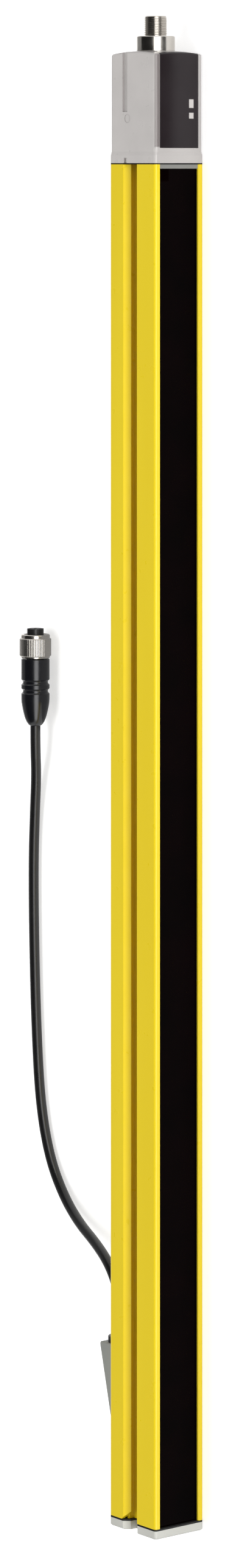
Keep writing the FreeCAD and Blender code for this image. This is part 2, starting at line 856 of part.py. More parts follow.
# ---------------------------------------------------------------- plug on the cap
def make_plug_shell():
    flange = turned([
        (x_spot, 0), (x_spot, flange_radius),
        (x_flange_end - flange_chamfer, flange_radius), (x_flange_end, flange_radius - flange_chamfer),
        (x_flange_end, 0),
    ], y_plug, z_mid)
    x_shank = x_ceiling - lock_nut_thickness - shank_stand
    stem = turned([
        (x_shank, 0), (x_shank, shank_radius), (x_spot + flange_height / 2, shank_radius),
        (x_spot + flange_height / 2, thread_radius), (x_plug_tip - thread_chamfer, thread_radius),
        (x_plug_tip, thread_radius - thread_chamfer), (x_plug_tip, 0),
    ], y_plug, z_mid)
    shell = flange.fuse(stem)
    x_groove = x_spot + 2 * o_ring_radius
    groove_radius = o_ring_centre_radius + o_ring_groove_half
    groove = small_rod(x_spot - 1, x_groove, y_plug, z_mid, groove_radius, ring_sides)
    groove = groove.cut(rod(x_spot - 1, x_groove, y_plug, z_mid, shank_radius))
    bore = rod(x_shank - 1, x_plug_tip + 1, y_plug, z_mid, plug_bore_radius)
    return shell.cut([groove, bore]).removeSplitter()


def pin_places(circle_radius):
    """A middle pin and four round it, as offsets in y and z."""
    places = [(0.0, 0.0)]
    for i in range(4):
        angle = math.radians(45 + 90 * i)
        places.append((circle_radius * math.cos(angle), circle_radius * math.sin(angle)))
    return places


def x_plug_insert():
    """The inner end of the plug's insert."""
    return x_spot - plug_insert_below


def make_plug_insert():
    x_top = x_plug_tip - plug_insert_recess
    body = small_rod(x_plug_insert(), x_top, y_plug, z_mid, plug_bore_radius - plug_insert_gap, ring_sides)
    holes = [
        small_rod(x_plug_insert() - 1, x_top + 1, y_plug + dy, z_mid + dz, pin_radius)
        for dy, dz in pin_places(pin_circle_radius)
    ]
    return body.cut(holes)


def make_plug_pins():
    x1 = x_plug_tip - plug_insert_recess + pin_stand
    pins = []
    for dy, dz in pin_places(pin_circle_radius):
        pins.append(small_rod(x_plug_insert(), x1, y_plug + dy, z_mid + dz, pin_radius))
    return Part.makeCompound(pins)


def make_plug_o_ring():
    return ring_seal(x_spot, o_ring_centre_radius, o_ring_radius, y_plug, z_mid)


def make_plug_lock_nut():
    x0 = x_ceiling - lock_nut_thickness
    nut = hexagon(x0, x_ceiling, y_plug, z_mid, lock_nut_across_flats)
    bore = (shank_radius + lock_nut_gap) / math.cos(math.pi / ring_sides)
    return nut.cut(small_rod(x0 - 1, x_ceiling + 1, y_plug, z_mid, bore, ring_sides))


def pipe(points, radius, sides):
    """A wire or cable along points, with arcs as large as the two runs at each corner allow."""
    edges = []
    radii = []
    here = points[0]
    for before, corner, after in zip(points, points[1:], points[2:]):
        back = before - corner
        ahead = after - corner
        shorter = min(back.Length, ahead.Length)
        half_turn = (math.pi - back.getAngle(ahead)) / 2
        run = 0.45 * shorter
        bend = run / math.tan(half_turn)
        back.normalize()
        ahead.normalize()
        bisector = back + ahead
        bisector.normalize()
        start = corner + back * run
        end = corner + ahead * run
        centre = corner + bisector * (bend / math.cos(half_turn))
        edges.append(Part.LineSegment(here, start).toShape())
        edges.append(Part.Arc(start, centre - bisector * bend, end).toShape())
        radii.append(bend)
        here = end
    edges.append(Part.LineSegment(here, points[-1]).toShape())
    spine = Part.Wire(edges)
    upward = V(0, 0, radius)
    sideways = upward.cross(points[1] - points[0])
    sideways.normalize()
    corners = []
    for i in range(sides + 1):
        angle = 2 * math.pi * (i + 0.5) / sides
        corners.append(points[0] + upward * math.sin(angle) + sideways * (radius * math.cos(angle)))
    ring = Part.makePolygon(corners)
    return spine.makePipeShell([ring], True, False), spine.Length, radii


def make_plug_leads():
    """Wires from the plug's insert down to the header on the control board."""
    leads = []
    x_top = x_plug_insert()
    x_end = x_upper_terminal() + terminal_length
    y_end = y_board_back + terminal_height / 2
    for dy, dz in pin_places(lead_spread)[1:]:
        start = V(x_top, y_plug + dy, z_mid + dz)
        points = [
            start,
            V(x_top - 2 * lead_bend, start.y, start.z),
            V(x_end + 2 * lead_bend, y_end + dy, start.z),
            V(x_end, y_end + dy, start.z),
        ]
        leads.append(pipe(points, lead_radius, lead_sides)[0])
    return Part.makeCompound(leads)


# ---------------------------------------------------------------- cable outlet on the back
def outlet_slope_y(x):
    """Height of the outlet's sloping back at x."""
    share = (x - x_outlet) / outlet_length
    return y_outlet + outlet_nose + (y_outlet_corner - y_outlet - outlet_nose) * share


def make_cable_outlet():
    low, high = z_mid - outlet_width / 2, z_mid + outlet_width / 2
    outline = rounded_wire([
        (x_outlet, y_outlet, 0),
        (outlet_top, y_outlet, 0),
        (outlet_top, y_outlet_corner, outlet_corner_radius),
        (x_outlet, y_outlet + outlet_nose, outlet_corner_radius / 2),
    ], lambda x, y: V(x, y, low))
    body = Part.Face(outline).extrude(V(0, 0, outlet_width))
    long_edges = [
        edge for edge in body.Edges
        if min(v.Y for v in edge.Vertexes) > y_outlet + outlet_nose
        and abs(edge.Vertexes[0].Z - edge.Vertexes[-1].Z) < 1e-6
    ]
    body = body.makeChamfer(outlet_long_bevel, long_edges)
    x0 = outlet_top - outlet_wall - outlet_cavity_length
    x1 = outlet_top - outlet_wall
    cavity = Part.Face(Part.makePolygon([
        V(x0, y_outlet - 1, 0), V(x1, y_outlet - 1, 0), V(x1, outlet_slope_y(x1) - outlet_wall, 0),
        V(x0, outlet_slope_y(x0) - outlet_wall, 0), V(x0, y_outlet - 1, 0),
    ])).translated(V(0, 0, low + outlet_side_wall)).extrude(V(0, 0, outlet_width - 2 * outlet_side_wall))
    neck_bore = (gland_neck_radius + gland_neck_gap) / math.cos(math.pi / ring_sides)
    cutters = [cavity, small_rod(x1 - 1, outlet_top + 1, y_cable, z_mid, neck_bore, ring_sides)]
    for place in outlet_screw_places:
        x = x_outlet + place
        y_floor = y_outlet + outlet_screw_floor
        cutters.append(small_post(x, y_floor, y_outlet_top, outlet_screw_well, head_sides))
        cutters.append(small_post(x, y_outlet - 1, y_floor + 1, screw_hole_radius))
    return body.cut(cutters).removeSplitter()


def make_outlet_gasket():
    low, high = z_mid - outlet_width / 2, z_mid + outlet_width / 2
    sheet = block(x_outlet, outlet_top, y_back, y_outlet, low, high)
    holes = [post(x_entry(), y_back - 1, y_outlet + 1, z_mid, outlet_entry_radius)]
    for place in outlet_screw_places:
        holes.append(small_post(x_outlet + place, y_back - 1, y_outlet + 1, screw_hole_radius))
    return sheet.cut(holes)


def make_outlet_screws():
    screws = []
    for place in outlet_screw_places:
        x = x_outlet + place
        y_head = y_outlet + outlet_screw_floor
        head_height = min(screw_head_height, outlet_slope_y(x) - y_head - 0.3)
        y_top = y_head + head_height
        head = small_post(x, y_head, y_top, screw_head_radius, head_sides)
        shank = small_post(x, y_back - back_wall, y_head, screw_radius)
        drive = small_post(x, y_top - outlet_drive_depth, y_top + 1, screw_socket_flats / math.sqrt(3), 6)
        screws.append(head.fuse(shank).cut(drive))
    return Part.makeCompound(screws)


def make_cable_gland():
    """The moulded strain relief: a neck through the outlet's end wall, with a foot and a taper outside."""
    x_wall = outlet_top - outlet_wall
    return faceted([
        (x_wall, cable_radius), (x_wall, gland_neck_radius), (outlet_top, gland_neck_radius),
        (outlet_top, gland_foot_radius), (outlet_top + gland_foot_length, gland_foot_radius),
        (outlet_top + gland_foot_length, gland_taper_radius), (x_gland_end, gland_tip_radius),
        (x_gland_end, cable_radius),
    ], y_cable, z_mid)


def make_cable_stub():
    x_inner = outlet_top - outlet_wall - stub_length
    return small_rod(x_inner, x_gland_end, y_cable, z_mid, cable_radius, ring_sides, 0.0)


def make_cable_leads():
    """Wires from the cable's stripped end through the back wall to the lower header."""
    leads = []
    x_start = outlet_top - outlet_wall - stub_length
    y_end = y_board_back + terminal_height
    for dy, dz in pin_places(lead_spread)[1:]:
        x_down = x_entry() + dy
        points = [
            V(x_start, y_cable + dy, z_mid + dz),
            V(x_down, y_cable + dy, z_mid + dz),
            V(x_down, y_end, z_mid + dz),
        ]
        leads.append(pipe(points, lead_radius, lead_sides)[0])
    return Part.makeCompound(leads)


# ---------------------------------------------------------------- lead and socket
def lead_points():
    """The free lead's route, from the gland's tip to the grip."""
    points = [V(x_gland_end, y_cable, z_mid), V(x_gland_end + lead_run_out, y_cable, z_mid)]
    points += [V(x, y_back + behind, z) for x, behind, z in lead_route]
    points += [V(grip_start - lead_run_in, y_socket, z_socket), V(grip_start, y_socket, z_socket)]
    return points


def make_cord():
    cord, length, radii = pipe(lead_points(), cable_radius, cable_sides)
    area = cable_sides * cable_radius ** 2 * math.sin(2 * math.pi / cable_sides) / 2
    print("lead length %.1f" % length)
    print("lead bend radii", [round(radius, 1) for radius in radii])
    print("lead volume over section times length %.4f" % (cord.Volume / (area * length)))
    return cord


def make_cord_grip():
    """The moulded grip: a barrel with two shallow waists, and a tail that tapers to the cable."""
    x_tail = grip_start + grip_tail_length
    points = [
        (grip_start, 0), (grip_start, grip_tail_radius),
        (grip_start + grip_tail_swell, grip_swell_radius), (x_tail, grip_radius),
    ]
    for i in range(grip_waists):
        x = grip_start + grip_first_waist + grip_waist_pitch * i
        half = grip_waist_length / 2
        points += [(x - half, grip_radius), (x, grip_waist_radius), (x + half, grip_radius)]
    points += [
        (x_grip_end - grip_edge, grip_radius), (x_grip_end, grip_radius - grip_edge), (x_grip_end, 0),
    ]
    return faceted(points, y_socket, z_socket)


def make_socket_insert():
    """The socket's insert, with the neck that the nut turns on and the flange that keeps it."""
    x_flange = x_nut + nut_collar_length + nut_end_gap
    body = faceted([
        (x_grip_end, 0), (x_grip_end, insert_radius), (x_flange, insert_radius),
        (x_flange, insert_flange_radius), (x_flange + insert_flange_length, insert_flange_radius),
        (x_flange + insert_flange_length, insert_radius), (x_insert_end, insert_radius), (x_insert_end, 0),
    ], y_socket, z_socket)
    x_floor = x_insert_end - contact_length
    holes = [
        small_rod(x_floor, x_insert_end + 1, y_socket + dy, z_socket + dz, contact_radius)
        for dy, dz in pin_places(contact_circle_radius)
    ]
    key = block(
        x_floor, x_insert_end + 1,
        y_socket - key_width / 2, y_socket + key_width / 2,
        z_socket + insert_radius - key_depth, z_socket + insert_radius + 1,
    )
    return body.cut(holes + [key]).removeSplitter()


def make_socket_contacts():
    contacts = []
    for dy, dz in pin_places(contact_circle_radius):
        y, z = y_socket + dy, z_socket + dz
        x0 = x_insert_end - contact_length
        tube = small_rod(x0, x_insert_end - contact_recess, y, z, contact_radius)
        contacts.append(tube.cut(small_rod(x0 + contact_floor, x_insert_end, y, z, contact_bore_radius)))
    return Part.makeCompound(contacts)


def make_socket_seal():
    x_flange = x_nut + nut_collar_length + nut_end_gap + insert_flange_length
    return ring_seal(x_flange, insert_radius + socket_seal_radius, socket_seal_radius, y_socket, z_socket)


def make_coupling_nut():
    """The knurled nut, free to turn on the insert's neck: a knurled band between two plain shoulders."""
    step = 2 * math.pi / nut_flutes
    corners = []
    for i in range(nut_flutes):
        for turn, radius in ((0.0, nut_radius), (nut_land, nut_radius), (nut_root, nut_root_radius)):
            angle = (i + turn) * step
            corners.append((y_socket + radius * math.cos(angle), z_socket + radius * math.sin(angle), 0))
    band = along(section(corners), x_nut + nut_shoulder_length, x_nut_end - nut_nose_length)
    shoulders = small_rod(x_nut, x_nut_end, y_socket, z_socket, nut_shoulder_radius, nut_flutes)
    neck = rod(x_nut - 1, x_nut_end + 1, y_socket, z_socket, insert_radius + nut_running_gap)
    x_mouth = x_nut + nut_collar_length
    mouth = small_rod(x_mouth, x_nut_end + 1, y_socket, z_socket, nut_thread_radius, nut_flutes)
    return band.fuse(shoulders).cut([neck, mouth])


# ---------------------------------------------------------------- assembly
def make_nodes():
    seal_right, seal_left = make_window_seals()
    return {
        "profile": make_profile(),
        "front_window": make_front_window(),
        "window_seal_left": seal_left,
        "window_seal_right": seal_right,
        "window_stop": make_window_stop(),
        "optics_carrier": make_optics_carrier(),
        "lens_strip": make_lens_strip(),
        "sensor_board": make_sensor_board(),
        "photodiodes": make_photodiodes(),
        "control_board": make_control_board(),
        "board_chips": make_board_chips(),
        "board_terminals": make_board_terminals(),
        "end_plate": make_end_plate(),
        "end_gasket": make_end_gasket(),
        "end_screws": make_end_screws(),
        "top_cap": make_top_cap(),
        "cap_gasket": make_cap_gasket(),
        "cap_screws": make_cap_screws(),
        "display_window": make_display_window(),
        "status_windows": make_status_windows(),
        "display_board": make_display_board(),
        "status_leds": make_status_leds(),
        "digit_display": make_digit_display(),
        "plug_shell": make_plug_shell(),
        "plug_insert": make_plug_insert(),
        "plug_pins": make_plug_pins(),
        "plug_o_ring": make_plug_o_ring(),
        "plug_lock_nut": make_plug_lock_nut(),
        "plug_leads": make_plug_leads(),
        "cable_outlet": make_cable_outlet(),
        "outlet_gasket": make_outlet_gasket(),
        "outlet_screws": make_outlet_screws(),
        "cable_gland": make_cable_gland(),
        "cable_stub": make_cable_stub(),
        "cable_leads": make_cable_leads(),
        "cord": make_cord(),
        "cord_grip": make_cord_grip(),
        "coupling_nut": make_coupling_nut(),
        "socket_insert": make_socket_insert(),
        "socket_contacts": make_socket_contacts(),
        "socket_seal": make_socket_seal(),
    }


def write_parts(nodes):
    """Puts the origin in the middle of the housing's footprint and writes one file per piece."""
    os.makedirs("parts", exist_ok=True)
    to_origin = V(-x_plug_tip / 2, -(y_front + y_outlet_top) / 2, 0)
    for name, shape in nodes.items():
        shape.translate(to_origin)
        if not shape.isValid():
            raise ValueError(name + " is not a valid shape")
        shape.exportStep("parts/" + name + ".step")
        box = shape.BoundBox
        print("%-18s solids %2d volume %9.1f  x %.1f..%.1f y %.1f..%.1f z %.1f..%.1f" % (
            name, len(shape.Solids), shape.Volume, box.XMin, box.XMax, box.YMin, box.YMax, box.ZMin, box.ZMax
        ))


write_parts(make_nodes())
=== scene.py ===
# %% [markdown]
# A safety light curtain is a long yellow bar that watches a row of light beams in front of a
# machine. This lesson dresses one in Blender: the metal bar, its dark light window, the cast cap
# with a display, the threaded plug, and a short black lead with a knurled socket.
#
# Every solid piece comes ready made from the engineering model, at its real size in metres. The
# lesson loads it first, and then each cell adds one piece or one finish.

# %% Load the engineering model
import math

import bmesh
import bpy
from mathutils import Matrix, Vector


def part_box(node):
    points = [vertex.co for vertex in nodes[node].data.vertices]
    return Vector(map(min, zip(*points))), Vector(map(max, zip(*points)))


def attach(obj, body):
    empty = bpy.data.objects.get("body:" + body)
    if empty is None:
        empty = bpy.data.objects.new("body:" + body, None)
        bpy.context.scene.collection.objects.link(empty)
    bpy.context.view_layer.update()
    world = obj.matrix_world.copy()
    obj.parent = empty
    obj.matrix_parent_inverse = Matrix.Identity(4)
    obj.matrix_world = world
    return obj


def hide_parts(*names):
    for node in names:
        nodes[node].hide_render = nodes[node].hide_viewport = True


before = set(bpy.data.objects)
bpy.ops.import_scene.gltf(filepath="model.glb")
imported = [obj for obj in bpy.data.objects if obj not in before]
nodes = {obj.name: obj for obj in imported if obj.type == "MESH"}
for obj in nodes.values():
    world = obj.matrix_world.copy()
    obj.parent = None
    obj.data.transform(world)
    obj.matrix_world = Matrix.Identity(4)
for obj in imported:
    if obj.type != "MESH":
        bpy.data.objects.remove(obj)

for leftover in ("Cube", "Light", "Camera"):
    if leftover in bpy.data.objects:
        bpy.data.objects.remove(bpy.data.objects[leftover])

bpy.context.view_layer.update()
print("pieces loaded:", len(nodes))

# %% [markdown]
# ## The camera
# The bar is 0.77 m long and lies along X. A picture of such a long, slim thing is tall and
# narrow, so the camera is rolled until +X points up in the picture. It looks across the bar from
# the window's side, from above, so that the window and the side face both show.
#
# A long lens from two and a half metres away keeps the bar's edges nearly parallel. The camera
# stands level with the joint between bar and cap, which keeps that joint straight, and the lens
# shift then slides the view down to take in the whole bar.

# %% Camera
view_angle = math.radians(38.4)      # between the window's own direction and the camera
camera_distance = 2.517
camera_lens = 113.7
camera_shift = -0.3956
axis_offset = 0.01898                # the bar stands this far right of the picture's middle
half_joint = 0.0003                  # half the gap between bar and cap, which the gasket fills

profile_low, profile_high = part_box("profile")
toward_camera = Vector((0.0, -math.cos(view_angle), math.sin(view_angle)))
picture_right = Vector((0.0, -math.sin(view_angle), -math.cos(view_angle)))
picture_up = Vector((1.0, 0.0, 0.0))
profile_middle = (profile_low + profile_high) / 2
eye_level = Vector((profile_high.x + half_joint, profile_middle.y, profile_middle.z))

camera_data = bpy.data.cameras.new("camera")
camera_data.lens = camera_lens
camera_data.sensor_width = 36.0
camera_data.shift_y = camera_shift
camera_data.clip_end = 50.0
camera = bpy.data.objects.new("camera", camera_data)
rotation = Matrix((picture_right, picture_up, toward_camera)).transposed().to_4x4()
place = eye_level + toward_camera * camera_distance - picture_right * axis_offset
camera.matrix_world = Matrix.Translation(place) @ rotation
bpy.context.scene.collection.objects.link(camera)
bpy.context.scene.camera = camera
print("camera at", [round(value, 3) for value in place])

# %% [markdown]
# ## The lead
# A round cable is a line with a thickness, and Blender has an object for just that: a curve with
# a bevel. The line is a NURBS spline of order 3, which runs smoothly inside its control points,
# as a stiff cable does inside the path that a hand pushes it along. Each control point carries
# the cable's radius, and the bevel multiplies it by one.
#
# The points follow the route that the engineering model gives: straight out of the gland, down
# to the table in a wide bend, along the bar, and up into the socket, whose body is thicker.

# %% Lead
cord_diameter = 0.0054
route = [
    (-0.2882, 0.01995, 0.01575), (-0.2767, 0.01995, 0.01575), (-0.2660, 0.02425, 0.0151),
    (-0.2570, 0.03305, 0.0135), (-0.2500, 0.04745, 0.0104), (-0.2432, 0.06655, 0.0066),
    (-0.2320, 0.08355, 0.0037), (-0.2142, 0.09665, 0.00275), (-0.1873, 0.10445, 0.00275),
    (-0.1500, 0.10785, 0.00275), (-0.1050, 0.10985, 0.00275), (-0.0620, 0.11055, 0.00275),
    (-0.0340, 0.10915, 0.00285), (-0.0140, 0.10515, 0.0049), (0.0021, 0.10125, 0.00855),
    (0.0131, 0.10125, 0.00855),
]
cord_curve = bpy.data.curves.new("lead", "CURVE")
cord_curve.dimensions = "3D"
cord_curve.bevel_depth = 1.0
cord_curve.bevel_resolution = 6
cord_curve.resolution_u = 24
cord_spline = cord_curve.splines.new("NURBS")
cord_spline.points.add(len(route) - 1)
for point, position in zip(cord_spline.points, route):
    point.co = (*position, 1.0)
    point.radius = cord_diameter / 2
cord_spline.order_u = 3
cord_spline.use_endpoint_u = True
lead = bpy.data.objects.new("lead", cord_curve)
bpy.context.scene.collection.objects.link(lead)
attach(lead, "housing")
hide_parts("cord")
print("lead control points:", len(route))

# %% [markdown]
# ## Helpers for finishes
# Each finish is made of shader nodes, so it needs no picture and stays sharp at any distance. A
# number field, such as cloudy noise, can drive the colour, the gloss or a fine relief.
#
# Machined and moulded edges are never perfectly sharp. The Bevel node turns the normals near an
# edge into a small rounding, which catches a thin line of light as a real edge does.

# %% Make a finish and add nodes to it
def new_finish(name, colour, roughness, **more):
    """A material whose main shader has plain values on its own sockets."""
    finish = bpy.data.materials.new(name)
    finish.use_nodes = True
    shader = finish.node_tree.nodes["Principled BSDF"]
    shader.inputs["Base Color"].default_value = (*colour, 1.0)
    shader.inputs["Roughness"].default_value = roughness
    for socket, value in more.items():
        shader.inputs[socket.replace("_", " ")].default_value = value
    return finish, shader


def add_node(finish, kind, **values):
    """A shader node with some of its input values filled in."""
    node = finish.node_tree.nodes.new(kind)
    for socket, value in values.items():
        node.inputs[socket.replace("_", " ")].default_value = value
    return node


def join(finish, output, socket):
    """Joins an output to an input."""
    finish.node_tree.links.new(output, socket)


print("finish helpers ready")

# %% Number fields, colour drift and relief
def clouds(finish, scale, stretch=(1.0, 1.0, 1.0), detail=3.0):
    """Cloudy noise in the piece's own metres. A small stretch draws it out along that axis."""
    where = add_node(finish, "ShaderNodeTexCoord")
    spread = add_node(finish, "ShaderNodeMapping", Scale=stretch)
    noise = add_node(finish, "ShaderNodeTexNoise", Scale=scale, Detail=detail)
    join(finish, where.outputs["Object"], spread.inputs["Vector"])
    join(finish, spread.outputs["Vector"], noise.inputs["Vector"])
    return noise.outputs["Fac"]


def scaled(finish, field, low, high):
    """The field's middle part, spread over low..high."""
    spread = add_node(finish, "ShaderNodeMapRange", From_Min=0.3, From_Max=0.7, To_Min=low, To_Max=high)
    join(finish, field, spread.inputs["Value"])
    return spread.outputs["Result"]


def drift(finish, shader, field, dark, light):
    """Lets the colour drift between two close tones."""
    mix = finish.node_tree.nodes.new("ShaderNodeMix")
    mix.data_type = "RGBA"
    mix.inputs[6].default_value = (*dark, 1.0)
    mix.inputs[7].default_value = (*light, 1.0)
    join(finish, scaled(finish, field, 0.0, 1.0), mix.inputs[0])
    join(finish, mix.outputs[2], shader.inputs["Base Color"])


def relief(finish, shader, layers, edge):
    """Softened edges, with one or more fine bumps on top. Edge and depths are in metres."""
    soft = add_node(finish, "ShaderNodeBevel", Radius=edge)
    soft.samples = 6
    normal = soft.outputs["Normal"]
    for field, depth, strength in layers:
        bump = add_node(finish, "ShaderNodeBump", Strength=strength, Distance=depth)
        join(finish, field, bump.inputs["Height"])
        join(finish, normal, bump.inputs["Normal"])
        normal = bump.outputs["Normal"]
    join(finish, normal, shader.inputs["Normal"])


print("fields: clouds, scaled, drift, relief")

# %% [markdown]
# ## Powder-coated profile
# The bar is an aluminium extrusion under a thick yellow powder coat. The coat melts and flows in
# the oven, so it is glossy but faintly dimpled, like orange peel. Under it, long shallow lines
# from the extrusion press still show. Two bumps give both: one even, one drawn out along X.

# %% Powder coat
coat_edge = 0.00035                  # the rounding that the thick coat gives to every edge
powder_coat, coat_shader = new_finish(
    "powder_coat", (0.80, 0.60, 0.009), 0.28,
    Specular_IOR_Level=0.36, Coat_Weight=0.20, Coat_Roughness=0.10,
)
yellow_clouds = clouds(powder_coat, 22.0, (0.12, 1, 1))
drift(powder_coat, coat_shader, yellow_clouds, (0.775, 0.575, 0.006), (0.820, 0.625, 0.010))
gloss = scaled(powder_coat, clouds(powder_coat, 140.0), 0.27, 0.36)
join(powder_coat, gloss, coat_shader.inputs["Roughness"])
press_lines = clouds(powder_coat, 700.0, (0.004, 1, 1), 1.0)
orange_peel = clouds(powder_coat, 850.0, detail=1.5)
relief(powder_coat, coat_shader, [
    (press_lines, 0.000012, 0.5),
    (orange_peel, 0.000018, 0.5),
], coat_edge)
finishes = {"profile_yellow": powder_coat}
print("powder coat ready")

# %% [markdown]
# ## Cast and moulded parts
# The cap is a pressure casting with a light grey satin paint, and the end plate has the same
# paint on a smoother plate. Moulded plastic has a finer, duller skin. One helper serves them all:
# tone that drifts a little, gloss that is not quite even, and a fine grain of a given size.

# %% Satin, plastic and rubber skins
def skin(slot_name, colour, roughness, grain_size, grain_depth, edge=0.0003, spread=0.05, **more):
    """A finish for a painted or moulded piece. Sizes are in metres."""
    finish, shader = new_finish(slot_name + "_skin", colour, roughness, **more)
    dark = [value * (1 - spread) for value in colour]
    light = [value * (1 + spread) for value in colour]
    drift(finish, shader, clouds(finish, 45.0), dark, light)
    gloss = scaled(finish, clouds(finish, 160.0), roughness * 0.88, roughness * 1.12)
    join(finish, gloss, shader.inputs["Roughness"])
    relief(finish, shader, [(clouds(finish, 1 / grain_size, detail=2.0), grain_depth, 0.5)], edge)
    finishes[slot_name] = finish
    return finish, shader


cap_skin, cap_shader = skin(
    "cap_grey", (0.545, 0.520, 0.505), 0.30, 0.0007, 0.000012,
    Specular_IOR_Level=0.45, Coat_Weight=0.2, Coat_Roughness=0.15,
)
skin("plate_grey", (0.54, 0.54, 0.50), 0.42, 0.0006, 0.000010, edge=0.0004, Specular_IOR_Level=0.4)
skin("outlet_grey", (0.30, 0.31, 0.295), 0.48, 0.0005, 0.000012, edge=0.0005, Specular_IOR_Level=0.35)
skin("stop_grey", (0.22, 0.22, 0.205), 0.45, 0.0005, 0.000008, Specular_IOR_Level=0.35)
skin("status_clear", (0.56, 0.53, 0.51), 0.18, 0.0010, 0.000004, Specular_IOR_Level=0.5)
print("satin and moulded skins:", len(finishes))

# %% [markdown]
# The narrow frame beside the display, on the side that lies on top, looks darker than the rest of
# the cap, and here that is painted shade: a second grey in its colour, and only the colour changes.
# A mask finds it: the surface has to face the front, to lie above the display's lower edge, and to
# be in the upper half. The rest of the front takes a fifth of the painted shade.
# The direction and the place are the cap's own, so the grey stays put when the camera moves.

# %% Painted shade on the frame beside the display
frame_start = 0.3170                 # the display's lower edge, along the bar
frame_blur = 0.0006
side_on, front_on = -0.25, -0.85     # how far a surface has turned to the front, from none to all
half_start, half_end = 0.0148, 0.0168
front_share = 0.2                    # what the rest of the front takes of the darker grey
# painted shade: this grey stands in for the shade on the frame beside the display, and a fifth of it for
# the shade on the rest of the front
painted_shade_grey = (0.190, 0.168, 0.164)
where = add_node(cap_skin, "ShaderNodeTexCoord")
along = add_node(cap_skin, "ShaderNodeSeparateXYZ")
join(cap_skin, where.outputs["Object"], along.inputs["Vector"])
above_collar = add_node(
    cap_skin, "ShaderNodeMapRange", From_Min=frame_start, From_Max=frame_start + frame_blur,
)
join(cap_skin, along.outputs["X"], above_collar.inputs["Value"])
facing = add_node(cap_skin, "ShaderNodeSeparateXYZ")
join(cap_skin, where.outputs["Normal"], facing.inputs["Vector"])
facing_front = add_node(cap_skin, "ShaderNodeMapRange", From_Min=side_on, From_Max=front_on)
join(cap_skin, facing.outputs["Y"], facing_front.inputs["Value"])
upper_half = add_node(cap_skin, "ShaderNodeMapRange", From_Min=half_start, From_Max=half_end)
join(cap_skin, along.outputs["Z"], upper_half.inputs["Value"])
painted_shade_mask = add_node(cap_skin, "ShaderNodeMath")
painted_shade_mask.operation = "MULTIPLY"
join(cap_skin, above_collar.outputs["Result"], painted_shade_mask.inputs[0])
join(cap_skin, upper_half.outputs["Result"], painted_shade_mask.inputs[1])
share = add_node(cap_skin, "ShaderNodeMapRange", To_Min=front_share, To_Max=1.0)
join(cap_skin, painted_shade_mask.outputs[0], share.inputs["Value"])
darker = add_node(cap_skin, "ShaderNodeMath")
darker.operation = "MULTIPLY"
join(cap_skin, share.outputs["Result"], darker.inputs[0])
join(cap_skin, facing_front.outputs["Result"], darker.inputs[1])
# mixes the painted shade into the cap's drifting grey
grey_and_painted_shade = cap_skin.node_tree.nodes.new("ShaderNodeMix")
grey_and_painted_shade.data_type = "RGBA"
grey_and_painted_shade.inputs[7].default_value = (*painted_shade_grey, 1.0)
join(cap_skin, cap_shader.inputs["Base Color"].links[0].from_socket, grey_and_painted_shade.inputs[6])
join(cap_skin, darker.outputs[0], grey_and_painted_shade.inputs[0])
join(cap_skin, grey_and_painted_shade.outputs[2], cap_shader.inputs["Base Color"])
print("frame starts at", frame_start)

# %% [markdown]
# ## Dull and dark pieces
# Seals are soft rubber and scatter light. The gland and the grip are harder moulded plastic, and
# the grip is the glossiest. The wires and boards inside have plain colours of their own.

# %% Rubber and cable
skin("seal_black", (0.010, 0.010, 0.010), 0.62, 0.0004, 0.000015, Specular_IOR_Level=0.25)
skin("gland_black", (0.013, 0.013, 0.013), 0.46, 0.0005, 0.000015, Specular_IOR_Level=0.35)
skin("grip_black", (0.0045, 0.005, 0.0075), 0.24, 0.0006, 0.000010, Specular_IOR_Level=0.62)
skin("insert_black", (0.010, 0.010, 0.011), 0.36, 0.0005, 0.000010, Specular_IOR_Level=0.4)
skin("carrier_black", (0.010, 0.010, 0.010), 0.60, 0.0005, 0.000010)
skin("wire_grey", (0.24, 0.24, 0.25), 0.45, 0.0004, 0.000008)
skin("board_green", (0.010, 0.11, 0.035), 0.35, 0.0012, 0.000020)
skin("chip_black", (0.012, 0.012, 0.013), 0.42, 0.0003, 0.000008)
skin("cable_black", (0.009, 0.009, 0.010), 0.30, 0.0007, 0.000012, Specular_IOR_Level=0.5)
print("rubber and cable ready, finishes so far:", len(finishes))

# %% [markdown]
# ## The light window and the display panel
# The window looks black, but it lets infrared through, so it is a deep smoked red plastic with a
# smooth face. A real one shines as other plastics do. In this all-white room that shine would
# turn it grey, so it is kept far lower here. The panel on the cap is a charcoal plastic with a
# softer gloss.

# %% Window, panel and lenses
skin("window_smoke", (0.0012, 0.0002, 0.0003), 0.06, 0.0100, 0.000005, edge=0.0002, spread=0.5,
     Specular_IOR_Level=0.018)
skin("display_black", (0.016, 0.011, 0.013), 0.24, 0.0008, 0.000006, edge=0.0004, spread=0.15,
     Specular_IOR_Level=0.26)
skin("lens_smoke", (0.05, 0.010, 0.014), 0.08, 0.0050, 0.000004, Specular_IOR_Level=0.5)
print("window, panel and lenses ready")

# %% [markdown]
# ## Metals
# The plug's shell and the socket's nut are brass with bright nickel plating, which is a little
# warmer than steel. The finish drifts between slightly polished and slightly dull, and fine
# turning marks run round the axis.

# %% Nickel, zinc and gold
def metal(slot_name, colour, roughness, mark_size, mark_depth, edge):
    """A plated metal with uneven gloss and fine tool marks across X."""
    finish, shader = new_finish(slot_name + "_plate", colour, roughness, Metallic=1.0)
    dark = [value * 0.93 for value in colour]
    drift(finish, shader, clouds(finish, 90.0), dark, colour)
    gloss = scaled(finish, clouds(finish, 260.0), roughness * 0.85, roughness * 1.2)
    join(finish, gloss, shader.inputs["Roughness"])
    marks = clouds(finish, 1 / mark_size, (1, 0.02, 0.02), 1.0)
    relief(finish, shader, [(marks, mark_depth, 0.4)], edge)
    finishes[slot_name] = finish


